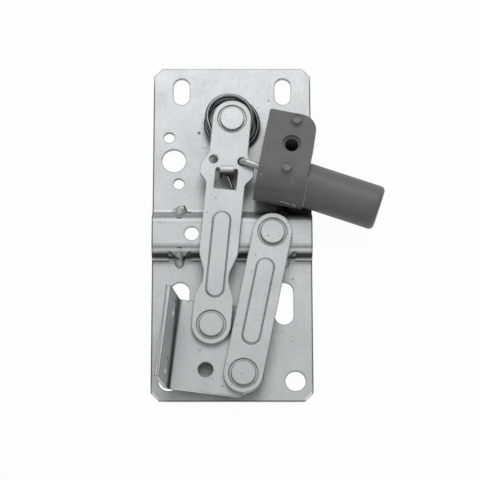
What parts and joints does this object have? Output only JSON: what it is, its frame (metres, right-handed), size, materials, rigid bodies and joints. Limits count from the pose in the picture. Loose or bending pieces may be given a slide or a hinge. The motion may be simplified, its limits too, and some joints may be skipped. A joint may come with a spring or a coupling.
{
  "type": "tip-out tray hinge",
  "caption": "Tip-out tray hinge: stamped base plate, riveted long and short links, tilting front bracket with screw flange, return spring and side-mounted soft-close damper.",
  "frame": {"origin": "Axis of the main pivot (upper rivet of the long link), on the back plane of the base plate that rests on the cabinet's side.", "axes": "+Z out of the base plate towards the links, +Y up the plate to its upper edge as hung, +X across the plate to the damper's side. Drawn closed, lying on the back of its plate."},
  "size_m": [0.0657, 0.098, 0.0221],
  "materials": {
    "zinc_sheet": "zinc-plated steel sheet, fine rolling grain, half matt",
    "bright_zinc": "zinc-plated steel, turned or pressed, smooth",
    "spring_steel": "bright drawn spring wire",
    "grey_plastic": "moulded mid-grey plastic, fine matt texture",
    "dark_plastic": "moulded dark plastic",
    "seal_rubber": "black rubber",
    "foam": "closed-cell foam"
  },
  "bodies": {
    "base": {"base_plate": "zinc_sheet", "main_pivot_rivet": "bright_zinc", "spacer_bush": "spring_steel", "return_spring": "spring_steel", "short_pivot_rivet": "bright_zinc", "damper_housing": "grey_plastic", "damper_lock_pin": "bright_zinc", "damper_cylinder": "dark_plastic", "rod_guide": "dark_plastic", "rod_seal": "seal_rubber", "foam_compensator": "foam"},
    "long_link_body": {"long_link": "zinc_sheet", "long_link_rivet": "bright_zinc"},
    "short_link_body": {"short_link": "zinc_sheet", "short_link_rivet": "bright_zinc"},
    "bracket_body": {"front_bracket": "zinc_sheet"},
    "damper_rod_body": {"damper_rod": "bright_zinc", "damper_piston": "dark_plastic", "piston_ring": "seal_rubber"}
  },
  "joints": [
    {"name": "long_link_swing", "type": "hinge", "parent": "base", "child": "long_link_body", "pos_m": [0, 0, 0.0065], "axis": [0, 0, -1], "range_deg": [0, 38], "stiffness_Nm_per_rad": 0.3, "springref_deg": -28.65, "deforming": ["return_spring"]},
    {"name": "short_link_swing", "type": "hinge", "parent": "base", "child": "short_link_body", "pos_m": [0.0114, -0.0335, 0.0065], "axis": [0, 0, -1], "range_deg": [0, 54]},
    {"name": "bracket_tilt", "type": "hinge", "parent": "long_link_body", "child": "bracket_body", "pos_m": [-0.00579, -0.06012, 0.00575], "axis": [0, 0, 1], "range_deg": [0, 69]},
    {"name": "rod_swing", "type": "hinge", "parent": "long_link_body", "child": "damper_rod_body", "pos_m": [0.00283, -0.01283, 0.0073], "axis": [0, 0, 1], "range_deg": [0, 44]}
  ],
  "couplings": [
    {"joint": "short_link_swing", "follows": "long_link_swing", "ratio": 1.396},
    {"joint": "bracket_tilt", "follows": "long_link_swing", "ratio": 1.801},
    {"joint": "rod_swing", "follows": "long_link_swing", "ratio": 1.137}
  ]
}
